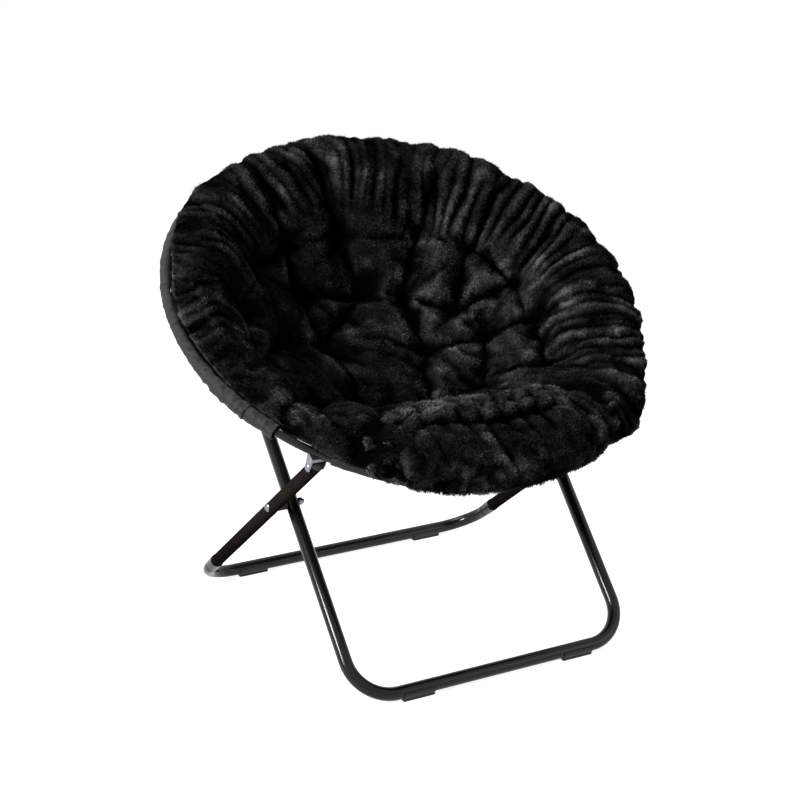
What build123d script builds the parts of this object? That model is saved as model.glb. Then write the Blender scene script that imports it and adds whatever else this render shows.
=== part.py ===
from build123d import *
from math import asin, cos, degrees, hypot, radians, sin, sqrt, tan
import os

# Folding saucer chair: a padded round seat hung in a hinged steel ring, carried by two crossed U legs.
# Millimetres. +Z up, -Y is the front, the floor is z = 0 and the chair's middle in plan is x = y = 0.

# ---- driving dimensions ----
ring_radius = 440.0          # centreline of the ring tube
ring_tube = 14.0             # ring tube diameter
ring_wall = 1.2
ring_tilt = 30.3             # degrees, back edge up
ring_height = 607.0          # ring centre above the floor
ring_back = 6.5              # y of the ring's centre
hinge_station = -165.0       # along the ring plane from its centre, front negative

leg_tube = 24.0
leg_wall = 1.2
leg_bend = 75.0              # centreline radius of the corners on the floor
front_foot = -326.5          # y of the front bar
rear_foot = 314.5            # y of the rear bar
leg_gap = 11.5               # between a rear leg and the front leg inside it
plug_in = 45.0               # length of rear leg tube held in its elbow
elbow_swell = 2.0            # how much larger the elbow's tube is

front_station = -313.5       # front pivots, along the ring plane from its centre
pivot_drop = 30.0            # front pivots below the ring's centreline
back_drop = 63.79            # back pivots below it
front_end = 13.0             # rear leg's tube beyond its pivot in a front bracket
back_end = 7.0               # front leg's tube beyond its pivot in a back bracket
cap_rim = 2.5                # straight edge of a leg's end cap
cap_dome = 4.0
rivet_radius = 4.0
nut_size = 13.0              # across flats
nut_height = 6.5
running_gap = 0.06           # radial clearance of a rivet in its hole
side_gap = 0.4               # beside a leg in its bracket
bracket_steel = 2.0
bracket_length = 20.0
saddle_gap = 0.15

tongue_steel = 3.0
tongue_width = 19.0
tongue_reach = 20.0          # from the hinge rivet to the round tube
lap_gap = 0.4                # between the two tongues

sleeve_gap = 0.3
sleeve_cloth = 2.0
hinge_bare = 32.0            # arc length beside the hinge without a sleeve
bracket_bare = 24.0          # arc length from a bracket's middle to the nearest sleeve
window_length = 80.0         # bare ring tube behind a front bracket

bowl_slope = 37.0            # degrees, side of the seat against the ring plane
bowl_break = 283.0           # radius at which the side turns into the round bottom
lining = 3.0
padding = 42.0               # cushion at the bottom of the bowl
rim_overhang = 13.0          # fur past the ring's centreline
rim_crown = 12.0             # fur above the ring's sleeve
cloth_gap = 0.35             # between soft layers
fold_gap = 0.5               # between the two halves of the seat
tuft_radius = 38.0           # dimple round each stitch
tuft_round = 24.0            # radius of its shoulder
tuft_slope = 26.0            # degrees, its sides
tuft_stitch = 1.5
outer_tufts = 14             # to the full circle
middle_tufts = 8
pad_nose = -246.0            # inner edge of the front pad, along the ring plane
pad_crown = 34.0             # its top above the ring plane
pad_half = 245.0             # half of its length along X
skirt_cloth = 5.0            # where the pad hangs over the front of the ring
skirt_drop = 16.0            # below the ring plane

foot_length = 60.0
foot_rise = 3.0              # foot pad below the tube
foot_wall = 2.2

# ---- sizes that follow ----
tube_radius = ring_tube / 2
leg_radius = leg_tube / 2
bar_height = leg_radius + foot_rise
sleeve_inner = tube_radius + sleeve_gap
sleeve_outer = sleeve_inner + sleeve_cloth
hole_radius = rivet_radius + running_gap
slot_half = leg_radius + side_gap            # half the gap between a bracket's ears
tilt = radians(ring_tilt)
along = (cos(tilt), sin(tilt))               # ring plane's direction in (y, z), front to back
above = (-sin(tilt), cos(tilt))              # ring plane's normal in (y, z)
ring_plane = Plane(origin=(0, ring_back, ring_height), x_dir=(1, 0, 0), z_dir=(0, above[0], above[1]))


def to_ring(y, z):
    """Side view point as distance along and above the ring plane."""
    dy, dz = y - ring_back, z - ring_height
    return dy * along[0] + dz * along[1], dy * above[0] + dz * above[1]


def from_ring(s, n):
    """Distance along and above the ring plane as a side view point (y, z)."""
    return ring_back + s * along[0] + n * above[0], ring_height + s * along[1] + n * above[1]


def leg_line(foot, pivot):
    """Length of a leg from its floor bar to its pivot, and its direction in (y, z)."""
    reach = hypot(pivot[0] - foot, pivot[1] - bar_height)
    return reach, ((pivot[0] - foot) / reach, (pivot[1] - bar_height) / reach)


# rear leg: it ends pivot_drop under the ring plane, and the legs are as wide as the ring there
front_pivot = from_ring(front_station, -pivot_drop)
rear_reach, rear_up = leg_line(rear_foot, front_pivot)
rear_half = sqrt(ring_radius**2 - front_station**2)
front_half = rear_half - leg_tube - leg_gap

# front leg: runs inside the rear leg and ends under the ring where the ring is as wide as it
back_station = sqrt(ring_radius**2 - front_half**2)
back_pivot = from_ring(back_station, -back_drop)
front_reach, front_up = leg_line(front_foot, back_pivot)

# crossing of the two legs in the side view
spread = rear_foot - front_foot
front_cross = spread * rear_up[1] / (front_up[0] * rear_up[1] - rear_up[0] * front_up[1])
crossing = (front_foot + front_cross * front_up[0], bar_height + front_cross * front_up[1])
rear_cross = front_cross * front_up[1] / rear_up[1]

hinge_half = sqrt(ring_radius**2 - hinge_station**2)
hinge_angle = degrees(asin(-hinge_station / ring_radius))      # below the ring's widest line
front_angle = degrees(asin(-front_station / ring_radius))
back_angle = degrees(asin(back_station / ring_radius))
lap_offset = (tongue_steel + lap_gap) / 2


def arc_degrees(length):
    """Angle of ring that an arc length takes."""
    return degrees(length / ring_radius)


def side_name(side):
    """Viewer's left of the chair is -X."""
    return "left" if side < 0 else "right"


def ring_piece(section, start, end):
    """Revolved piece of ring, from a section drawn in (radius, height), between two angles from +X."""
    piece = revolve(Plane.XZ * section, axis=Axis.Z, revolution_arc=end - start)
    return Rot(0, 0, start) * piece


def tube_section(radius, wall):
    return Pos(ring_radius, 0) * (Circle(radius) - Circle(radius - wall))


def rod_x(y, z, x_from, x_to, radius):
    """Round bar along X between two x values."""
    low, high = min(x_from, x_to), max(x_from, x_to)
    return Pos((low + high) / 2, y, z) * Rot(0, 90, 0) * Cylinder(radius, high - low)


def dome_x(y, z, x, side, radius, height):
    """Rivet head: a dome that stands on the plane x and points to the given side."""
    ball = (radius**2 + height**2) / (2 * height)
    profile = make_face(
        Polyline((0, height), (0, 0), (radius, 0)) + RadiusArc((radius, 0), (0, height), -ball)
    )
    head = revolve(Plane.XZ * profile, axis=Axis.Z)
    return Pos(x, y, z) * Rot(0, 90 * side, 0) * head


def rivet_x(y, z, x_in, x_out, side):
    """Rivet along X from x_in to x_out, domed outside and clinched inside."""
    shank = rod_x(y, z, side * x_in, side * x_out, rivet_radius)
    outer = dome_x(y, z, side * x_out, side, rivet_radius * 1.8, rivet_radius * 0.75)
    inner = dome_x(y, z, side * x_in, -side, rivet_radius * 1.6, rivet_radius * 0.55)
    return shank + outer + inner


# ---- ring ----
def tongue(side, back):
    """Flattened tube end that laps the other half's at the hinge rivet; drawn in the ring plane's frame."""
    toward = 1 if back else -1
    x_mid = side * (hinge_half + toward * lap_offset)
    angle = hinge_angle - toward * arc_degrees(tongue_reach)      # from the widest line to the front
    end_x, end_s = ring_radius * cos(radians(angle)), -ring_radius * sin(radians(angle))
    root_s = hinge_station + toward * tongue_width * 0.55
    root = Plane(origin=(x_mid, root_s, 0), x_dir=(1, 0, 0), z_dir=(0, toward, 0))
    mouth = Plane(origin=(side * end_x, end_s, 0), x_dir=(1, 0, 0), z_dir=(0, toward, 0))
    neck = loft([root * Rectangle(tongue_steel, tongue_width), mouth * Circle(tube_radius)])
    blade = Box(tongue_steel, abs(root_s - hinge_station), tongue_width)
    blade = Pos(x_mid, (root_s + hinge_station) / 2, 0) * blade
    nose = rod_x(hinge_station, 0, x_mid - tongue_steel / 2, x_mid + tongue_steel / 2, tongue_width / 2)
    return blade + nose + neck


def ring_half(back):
    """One half of the hinged ring, with a flattened tongue at each end."""
    start = 180 + hinge_angle + arc_degrees(tongue_reach)
    end = 360 - hinge_angle - arc_degrees(tongue_reach)
    if back:
        start, end = -hinge_angle + arc_degrees(tongue_reach), 180 + hinge_angle - arc_degrees(tongue_reach)
    half = ring_piece(tube_section(tube_radius, ring_wall), start, end)
    for side in (-1, 1):
        half += tongue(side, back)
        half -= rod_x(hinge_station, 0, side * (hinge_half - 12), side * (hinge_half + 12), hole_radius)
    return half


def hinge_rivet(side):
    """Rivet of the ring's hinge, with a dome on each outer face of the lap."""
    reach = lap_offset + tongue_steel / 2 + side_gap
    return rivet_x(hinge_station, 0, hinge_half - reach, hinge_half + reach, side)


def sleeve(start, end):
    """Cloth casing round a stretch of ring, between two angles from +X."""
    section = Pos(ring_radius, 0) * (Circle(sleeve_outer) - Circle(sleeve_inner))
    return ring_piece(section, start, end)


# ---- brackets ----
def bracket(side, half, station, drop, length):
    """Channel under the ring: a saddle for the ring tube and an ear on each side of a leg; ring plane's frame."""
    width = 2 * (slot_half + bracket_steel)
    foot = drop + rivet_radius * 2.2
    web_top = -tube_radius * 0.35
    web_low = -tube_radius - saddle_gap - bracket_steel
    ear = make_face(
        Polyline((-length / 2, web_low), (-length / 2, web_top), (length / 2, web_top), (length / 2, web_low))
        + Line((length / 2, web_low), (rivet_radius * 1.9, -drop))
        + RadiusArc((rivet_radius * 1.9, -drop), (-rivet_radius * 1.9, -drop), rivet_radius * 1.9)
        + Line((-rivet_radius * 1.9, -drop), (-length / 2, web_low))
    )
    plate = Plane(origin=(half * side, station, 0), x_dir=(0, 1, 0), z_dir=(1, 0, 0)) * ear
    body = extrude(plate, width / 2, both=True)
    slot_height = foot + web_low
    slot = Pos(half * side, station, web_low - slot_height / 2) * Box(2 * slot_half, 3 * length, slot_height)
    groove = Torus(ring_radius, tube_radius + saddle_gap)
    hole = rod_x(station, -drop, side * half - width, side * half + width, hole_radius)
    return body - slot - groove - hole


def bracket_rivet(side, half, y, z):
    """Rivet of a bracket, through both ears."""
    reach = slot_half + bracket_steel
    return rivet_x(y, z, half - reach, half + reach, side)


def stub_rivet(side, y, z, inward):
    """Shoulder rivet in one ear of a back bracket: it ends flush with the ear's inner face."""
    facing = -side if inward else side
    inner = side * front_half + facing * slot_half
    outer = inner + facing * bracket_steel
    return rod_x(y, z, inner, outer, rivet_radius) + dome_x(
        y, z, outer, facing, rivet_radius * 1.8, rivet_radius * 0.75
    )


# ---- legs ----
def leg_plane(foot, up):
    """Plane of a U leg: its origin is the middle of the bar, local y runs up the legs."""
    return Plane(origin=(0, foot, bar_height), x_dir=(1, 0, 0), z_dir=(0, -up[1], up[0]))


def tube_along(path, radius, wall):
    """Bent tube: ring section at the path's start, swept along it."""
    start = Plane(origin=path @ 0, z_dir=path % 0)
    return sweep(start * (Circle(radius) - Circle(radius - wall)), path=path)


def front_leg():
    """Front U leg: one bent tube, drilled for its crossing bolts and its top rivets."""
    top = front_reach + back_end
    path = FilletPolyline(
        (-front_half, top), (-front_half, 0), (front_half, 0), (front_half, top), radius=leg_bend
    )
    leg = tube_along(leg_plane(front_foot, front_up) * path, leg_radius, leg_wall)
    for point in (back_pivot, crossing):
        leg -= rod_x(*point, -front_half - leg_tube, front_half + leg_tube, hole_radius)
    return leg


def rear_base():
    """Rear bar and its two elbows, in a slightly larger tube that the rear legs plug into."""
    top = leg_bend + plug_in
    path = FilletPolyline(
        (-rear_half, top), (-rear_half, 0), (rear_half, 0), (rear_half, top), radius=leg_bend
    )
    return tube_along(leg_plane(rear_foot, rear_up) * path, leg_radius, leg_wall)


def rear_collar(side):
    """Swaged mouth of an elbow, round the rear leg's tube."""
    low, high = leg_bend + plug_in * 0.35, leg_bend + plug_in
    outer = leg_radius + elbow_swell / 2
    section = Circle(outer) - Circle(leg_radius + sleeve_gap / 3)
    ring = extrude(Plane.XZ * section, high - low)
    return leg_plane(rear_foot, rear_up).location * (Pos(side * rear_half, high, 0) * ring)


def rear_leg(side):
    """Straight rear leg tube, from its elbow to its bracket under the front of the ring."""
    low, high = leg_bend + plug_in + side_gap, rear_reach + front_end
    bore = leg_radius - leg_wall
    neck = bore - sleeve_gap / 3
    section = Circle(leg_radius) - Circle(bore)
    tube = extrude(Plane.XZ * section, high - low)
    shoulder = extrude(Plane.XZ * (Circle(leg_radius) - Circle(neck - leg_wall)), 2 * leg_wall)
    tube += Pos(0, low + 2 * leg_wall - high, 0) * shoulder
    plug = extrude(Plane.XZ * (Circle(neck) - Circle(neck - leg_wall)), plug_in * 0.9)
    tube += Pos(0, low + leg_wall - high, 0) * plug
    tube = leg_plane(rear_foot, rear_up).location * (Pos(side * rear_half, high, 0) * tube)
    x_in, x_out = side * (rear_half - leg_tube), side * (rear_half + leg_tube)
    for point in (front_pivot, crossing):
        tube -= rod_x(*point, x_in, x_out, hole_radius)
    return tube


def end_cap(side, half, foot, up, end):
    """Plastic plug with a domed head on the end of a leg tube."""
    bore = leg_radius - leg_wall - sleeve_gap / 3
    plug = rod_x(0, 0, -6, cap_rim / 2, bore) + rod_x(0, 0, 0.1, cap_rim, leg_radius)
    plug += dome_x(0, 0, cap_rim, 1, leg_radius, cap_dome)
    place = Pos(side * half, end, 0) * Rot(0, 0, 90)
    return leg_plane(foot, up).location * (place * plug)


# ---- crossing ----
def crossing_bolt(side):
    """Bolt through both legs and the spacer, with a domed head outside: the front leg turns on it."""
    inner, outer = front_half - leg_radius - nut_height - rivet_radius, rear_half + leg_radius
    shank = rod_x(*crossing, side * inner, side * outer, rivet_radius)
    return shank + dome_x(*crossing, side * outer, side, rivet_radius * 2, rivet_radius)


def crossing_spacer(side):
    """Plastic spacer between the legs, hollowed to the rear leg's tube."""
    inner, outer = front_half + leg_radius + side_gap, rear_half - leg_radius * 0.72
    block = rod_x(*crossing, side * inner, side * outer, leg_radius * 0.85)
    block -= rod_x(*crossing, side * (inner - 1), side * (outer + 1), hole_radius)
    tube = extrude(Plane.XZ * Circle(leg_radius + saddle_gap), leg_tube * 3)
    place = Pos(side * rear_half, rear_cross + leg_tube * 1.5, 0)
    return block - leg_plane(rear_foot, rear_up).location * (place * tube)


def crossing_nut(side):
    """Nut on the bolt's inner end, beside the front leg."""
    face = front_half - leg_radius - side_gap / 2
    nut = extrude(RegularPolygon(nut_size / 2, 6, major_radius=False), nut_height)
    nut = Pos(side * face, *crossing) * Rot(0, -90 * side, 0) * nut
    return nut - rod_x(*crossing, side * (face + 1), side * (face - 2 * nut_height), rivet_radius)


# ---- feet ----
def foot_pad(x, foot, tube):
    """Clip-on pad: a channel open at the top, pressed over the bar, flat below."""
    outer = tube + foot_wall
    section = Circle(outer) + Pos(0, -bar_height / 2) * Rectangle(outer * 1.3, bar_height)
    section -= Circle(tube + 0.1)
    section -= Pos(0, outer) * Rectangle(4 * outer, 2 * outer - 3)
    section -= Pos(0, -bar_height - outer) * Rectangle(4 * outer, 2 * outer)
    pad = extrude(Plane.YZ * section, foot_length / 2, both=True)
    return Pos(x, foot, bar_height) * pad


# ---- seat ----
bowl_top = (ring_radius - sleeve_outer - cloth_gap, 2.0)
slope = radians(bowl_slope)
break_point = (bowl_break, bowl_top[1] - (bowl_top[0] - bowl_break) * tan(slope))
bottom_radius = bowl_break / sin(slope)
bowl_bottom = (0, break_point[1] - bottom_radius * (1 - cos(slope)))


def bowl_line(offset):
    """Side and bottom of the bowl, moved up square to itself: rim, break and bottom points and bottom radius."""
    dr, dn = offset * sin(slope), offset * cos(slope)
    rim = (bowl_top[0] - dr, bowl_top[1] + dn)
    turn = (break_point[0] - dr, break_point[1] + dn)
    return rim, turn, (0, bowl_bottom[1] + offset), bottom_radius - offset


def bowl_shell(low, high):
    """Face between two offsets of the bowl's line, in (radius, height)."""
    rim_a, turn_a, bottom_a, radius_a = bowl_line(low)
    rim_b, turn_b, bottom_b, radius_b = bowl_line(high)
    outline = (
        Line(rim_a, turn_a)
        + RadiusArc(turn_a, bottom_a, radius_a)
        + Line(bottom_a, bottom_b)
        + RadiusArc(bottom_b, turn_b, -radius_b)
        + Line(turn_b, rim_b)
        + Line(rim_b, rim_a)
    )
    return make_face(outline)


def half_space(back):
    """Box that holds one side of the fold line, in the ring plane's frame."""
    size = 3 * ring_radius
    middle = hinge_station + (size + fold_gap) / 2 * (1 if back else -1)
    return Pos(0, middle, 0) * Box(size, size, size)


def bracket_clearance():
    """Room in the cloth round the four brackets, in the ring plane's frame."""
    ball = Pos(0, 0, -leg_tube) * Sphere(leg_tube * 1.35)
    front = [Pos(x, front_station, 0) * ball for x in (-rear_half, rear_half)]
    back = [Pos(x, back_station, 0) * ball for x in (-front_half, front_half)]
    return front + back


def lining_half(back):
    """Woven cloth under the seat, one half of the bowl."""
    cloth = revolve(Plane.XZ * bowl_shell(0, lining), axis=Axis.Z) & half_space(back)
    return cloth - bracket_clearance()


def cushion_profile():
    """Cushion from the lining to its top: dished bottom, straight sides and a rounded roll over the rim."""
    rim, turn, bottom, radius = bowl_line(lining + cloth_gap)
    top_turn, top_bottom, top_radius = bowl_line(lining + padding)[1:]
    lip = (ring_radius + rim_overhang, max(sleeve_outer, tongue_width / 2) + cloth_gap)
    crest = (ring_radius - 12, sleeve_outer + rim_crown)
    inside = (ring_radius - 55, top_turn[1] + (ring_radius - 55 - top_turn[0]) * tan(slope))
    outline = (
        Polyline(lip, (rim[0] - 1, lip[1]), rim, turn)
        + RadiusArc(turn, bottom, radius)
        + Line(bottom, top_bottom)
        + RadiusArc(top_bottom, top_turn, -top_radius)
        + Line(top_turn, inside)
        + Spline(inside, crest, tangents=[(1, tan(slope)), (1, 0)])
        + ThreePointArc(crest, (lip[0] - 1.5, (crest[1] + lip[1]) / 2 + 1.5), lip)
    )
    return make_face(outline)


def seat_top(radius):
    """Height of the seat's surface above the ring plane at a radius."""
    turn, bottom, ball = bowl_line(lining + padding)[1:]
    if radius > turn[0]:
        return turn[1] + (radius - turn[0]) * tan(slope)
    return bottom[1] + ball - sqrt(ball**2 - radius**2)


def tuft_cut(radius, angle):
    """Dimple round one stitch: a cone with a rounded shoulder, square to the seat."""
    lean = radians(tuft_slope)
    shoulder = (tuft_radius - tuft_round * sin(lean), tuft_round * (cos(lean) - 1))
    depth = shoulder[1] - (shoulder[0] - tuft_stitch) * tan(lean)
    profile = make_face(
        Polyline((tuft_radius, 0), (tuft_radius, tuft_round), (0, tuft_round), (0, depth))
        + Polyline((0, depth), (tuft_stitch, depth), shoulder)
        + RadiusArc(shoulder, (tuft_radius, 0), tuft_round)
    )
    turn = bowl_slope if radius > bowl_break - 60 else degrees(asin(radius / bottom_radius))
    place = Rot(0, 0, angle) * Pos(radius, 0, seat_top(radius)) * Rot(0, -turn, 0)
    return place * revolve(Plane.XZ * profile)


def tuft_places():
    """Stitches as (radius, angle) in two staggered rows and a middle one, clear of the fold and the pad."""
    outer = [(bowl_break, 360 / outer_tufts * i) for i in range(outer_tufts)]
    middle = [(bowl_break * 0.62, 360 / middle_tufts * (i + 0.4)) for i in range(middle_tufts)]
    places = outer + middle + [(0, 0)]
    return [(r, a) for r, a in places if r * sin(radians(a)) > hinge_station + tuft_radius]


def cushion_half(back):
    """Padded seat, one half of the bowl; the back one is dimpled at its stitches."""
    pad = revolve(Plane.XZ * cushion_profile(), axis=Axis.Z) & half_space(back)
    pad -= bracket_clearance()
    if back:
        for radius, angle in tuft_places():
            pad -= tuft_cut(radius, angle)
    return pad


def front_pad():
    """Thick roll on the front of the seat, hanging over the ring; ring plane's frame."""
    skirt = ring_radius + rim_overhang + 1.2 + cloth_gap
    edge = skirt + skirt_cloth
    front = -edge - 30
    inner, deep = bowl_break - 110, seat_top(bowl_break - 110) - 20
    rim = make_face(
        Polyline((inner, pad_crown + 5), (inner, deep), (bowl_break, deep + 65), (ring_radius - 40, -3))
        + Polyline((ring_radius - 40, -3), (ring_radius - 12, 12), (skirt, 14), (skirt, -skirt_drop))
        + ThreePointArc((skirt, -skirt_drop), (skirt + skirt_cloth / 2, -skirt_drop - 2.5), (edge, -skirt_drop))
        + Line((edge, -skirt_drop), (edge, 10))
        + ThreePointArc((edge, 10), (edge - 9, 27), (edge - 30, pad_crown + 5))
        + Line((edge - 30, pad_crown + 5), (inner, pad_crown + 5))
    )
    side = make_face(
        ThreePointArc((front, 14), (-365, pad_crown), (pad_nose - 30, 14))
        + ThreePointArc((pad_nose - 30, 14), (pad_nose, -22), (pad_nose - 14, -65))
        + Polyline((pad_nose - 14, -65), (pad_nose - 70, deep - 10), (front, deep - 10), (front, 14))
    )
    roll = revolve(Plane.XZ * rim, axis=Axis.Z)
    roll &= extrude(Plane.YZ * side, pad_half, both=True)
    ends = Plane.XZ * Pos(0, pad_crown - 200) * RectangleRounded(2 * pad_half, 400, 60)
    roll &= extrude(ends, 2 * ring_radius, both=True)
    under = revolve(Plane.XZ * cushion_profile(), axis=Axis.Z)
    return roll - Pos(0, 0, cloth_gap * 1.5) * under


def sleeve_spans():
    """Cloth casings of the ring: start and end angle from +X under each node's name."""
    bare, hinge = arc_degrees(bracket_bare), arc_degrees(hinge_bare)
    window = arc_degrees(window_length)
    return {
        "sleeve_front": (180 + front_angle + bare, 360 - front_angle - bare),
        "sleeve_front_left": (180 + hinge_angle + hinge, 180 + front_angle - window),
        "sleeve_front_right": (360 - front_angle + window, 360 - hinge_angle - hinge),
        "sleeve_back_right": (hinge - hinge_angle, back_angle - bare),
        "sleeve_back_left": (180 - back_angle + bare, 180 + hinge_angle - hinge),
        "sleeve_rear": (back_angle + bare, 180 - back_angle - bare),
    }


def build_all():
    """Every piece under its node's name."""
    ring = ring_plane.location
    pieces = {}
    pieces["ring_back_half"] = ring * ring_half(True)
    pieces["ring_front_half"] = ring * ring_half(False)
    for name, span in sleeve_spans().items():
        pieces[name] = ring * sleeve(*span)
    pieces["front_leg_frame"] = front_leg()
    pieces["rear_base_tube"] = rear_base()
    for side in (-1, 1):
        tag = side_name(side)
        pieces[f"hinge_rivet_{tag}"] = ring * hinge_rivet(side)
        pieces[f"front_bracket_{tag}"] = ring * bracket(
            side, rear_half, front_station, pivot_drop, bracket_length
        )
        pieces[f"back_bracket_{tag}"] = ring * bracket(
            side, front_half, back_station, back_drop, bracket_length
        )
        pieces[f"front_pivot_rivet_{tag}"] = bracket_rivet(side, rear_half, *front_pivot)
        pieces[f"back_stub_outer_{tag}"] = stub_rivet(side, *back_pivot, False)
        pieces[f"back_stub_inner_{tag}"] = stub_rivet(side, *back_pivot, True)
        pieces[f"rear_leg_{tag}"] = rear_leg(side)
        pieces[f"rear_collar_{tag}"] = rear_collar(side)
        pieces[f"rear_leg_cap_{tag}"] = end_cap(side, rear_half, rear_foot, rear_up, rear_reach + front_end)
        pieces[f"front_leg_cap_{tag}"] = end_cap(side, front_half, front_foot, front_up, front_reach + back_end)
        pieces[f"crossing_bolt_{tag}"] = crossing_bolt(side)
        pieces[f"crossing_spacer_{tag}"] = crossing_spacer(side)
        pieces[f"crossing_nut_{tag}"] = crossing_nut(side)
        foot_x = side * (front_half - leg_bend - foot_length * 0.6)
        pieces[f"front_foot_{tag}"] = foot_pad(foot_x, front_foot, leg_radius)
        foot_x = side * (rear_half - leg_bend - foot_length * 0.6)
        pieces[f"rear_foot_{tag}"] = foot_pad(foot_x, rear_foot, leg_radius)
    pieces["lining_back"] = ring * lining_half(True)
    pieces["lining_front"] = ring * lining_half(False)
    pieces["cushion_back"] = ring * cushion_half(True)
    pieces["cushion_front"] = ring * cushion_half(False)
    pieces["front_pad"] = ring * front_pad()
    return pieces


os.makedirs("parts", exist_ok=True)
for name, piece in build_all().items():
    export_step(piece, f"parts/{name}.step")

print("front pivot y z", [round(v, 3) for v in front_pivot], "half width", round(rear_half, 3))
print("back pivot y z", [round(v, 3) for v in back_pivot], "half width", round(front_half, 3))
print("crossing y z", [round(v, 3) for v in crossing])
print("hinge y z", [round(v, 3) for v in from_ring(hinge_station, 0)], "half width", round(hinge_half, 3))
print("back bracket drop", round(back_drop, 2), "reaches", round(rear_reach, 2), round(front_reach, 2))
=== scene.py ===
import math
import random

import bmesh
import bpy
import numpy as np
from mathutils import Matrix, Vector, noise


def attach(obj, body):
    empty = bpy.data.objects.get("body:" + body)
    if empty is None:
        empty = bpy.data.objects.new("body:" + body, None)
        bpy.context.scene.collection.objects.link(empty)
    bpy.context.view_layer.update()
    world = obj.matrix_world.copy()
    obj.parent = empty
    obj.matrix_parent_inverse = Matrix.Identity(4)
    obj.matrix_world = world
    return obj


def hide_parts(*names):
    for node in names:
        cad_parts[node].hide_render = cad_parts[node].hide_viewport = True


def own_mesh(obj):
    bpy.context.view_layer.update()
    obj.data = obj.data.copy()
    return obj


# Folding saucer chair: black plush seat in a hinged ring on crossed black legs.
# Metres, +Z up, the front is -Y, the floor is z = 0.

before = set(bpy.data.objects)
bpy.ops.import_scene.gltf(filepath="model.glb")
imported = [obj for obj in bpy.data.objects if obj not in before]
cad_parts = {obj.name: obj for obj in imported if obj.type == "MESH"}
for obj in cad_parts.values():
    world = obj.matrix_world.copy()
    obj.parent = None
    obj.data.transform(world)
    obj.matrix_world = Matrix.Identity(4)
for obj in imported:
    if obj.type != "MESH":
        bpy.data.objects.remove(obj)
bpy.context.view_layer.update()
print("frame loaded:", len(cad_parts), "nodes")

# the driving sizes of the chair, as in the part's source
chair = {
    "ringRadius": 0.440,
    "ringTilt": 30.3,
    "ringCentre": (0.0, 0.0065, 0.607),
    # along the ring plane from its centre
    "foldLine": -0.165,
    "bowlSlope": 37.0,
    "bowlBreak": 0.283,
    "bowlRim": 0.43035,
    "bowlRimHeight": 0.002,
}

tilt = math.radians(chair["ringTilt"])
ringMatrix = Matrix.Translation(chair["ringCentre"]) @ Matrix.Rotation(tilt, 4, "X")


# materials
def addNode(tree, kind, place, **values):
    node = tree.nodes.new(kind)
    node.location = place
    for name, value in values.items():
        if name in node.inputs:
            node.inputs[name].default_value = value
        else:
            setattr(node, name, value)
    return node


def newMaterial(name, **values):
    material = bpy.data.materials.new(name)
    material.use_nodes = True
    shader = material.node_tree.nodes["Principled BSDF"]
    for key, value in values.items():
        shader.inputs[key].default_value = value
    coords = addNode(material.node_tree, "ShaderNodeTexCoord", (-1100, 0))
    return material, material.node_tree, shader, coords.outputs["Object"]


def makeSpeckleGroup():
    # a fine uneven tone and a height, from two scales of noise
    group = bpy.data.node_groups.new("Speckle", "ShaderNodeTree")
    face = group.interface
    face.new_socket("Vector", in_out="INPUT", socket_type="NodeSocketVector")
    for label, value in (("Fine", 900.0), ("Broad", 20.0), ("Low", 0.12), ("High", 0.42)):
        socket = face.new_socket(label, in_out="INPUT", socket_type="NodeSocketFloat")
        socket.default_value = value
    face.new_socket("Tone", in_out="OUTPUT", socket_type="NodeSocketFloat")
    face.new_socket("Height", in_out="OUTPUT", socket_type="NodeSocketFloat")
    start = group.nodes.new("NodeGroupInput")
    end = group.nodes.new("NodeGroupOutput")
    fine = addNode(group, "ShaderNodeTexNoise", (-400, 150), Detail=3.0, Roughness=0.6)
    broad = addNode(group, "ShaderNodeTexNoise", (-400, -150), Detail=4.0, Roughness=0.55)
    mix = addNode(group, "ShaderNodeMath", (-150, 0), operation="MULTIPLY")
    ramp = addNode(group, "ShaderNodeMapRange", (50, 0))
    group.links.new(start.outputs["Vector"], fine.inputs["Vector"])
    group.links.new(start.outputs["Vector"], broad.inputs["Vector"])
    group.links.new(start.outputs["Fine"], fine.inputs["Scale"])
    group.links.new(start.outputs["Broad"], broad.inputs["Scale"])
    group.links.new(fine.outputs["Fac"], mix.inputs[0])
    group.links.new(broad.outputs["Fac"], mix.inputs[1])
    group.links.new(mix.outputs[0], ramp.inputs["Value"])
    group.links.new(start.outputs["Low"], ramp.inputs["From Min"])
    group.links.new(start.outputs["High"], ramp.inputs["From Max"])
    group.links.new(ramp.outputs["Result"], end.inputs["Tone"])
    group.links.new(fine.outputs["Fac"], end.inputs["Height"])
    return group


speckle = makeSpeckleGroup()

# the plush: the speckle's range, how sharply painted shade darkens it into creases, and its painted sheen
# patches
plushToneAndLight = {
    "low": 0.12,
    "high": 0.46,
    "steepness": 3.0,
    "patchScale": 24,
    "patchSeed": 51,
    "patchGain": 2.4,
    "patchStart": 0.25,
    "plain": 0.90,
    "paintedSheen": 0.5,
}


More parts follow.
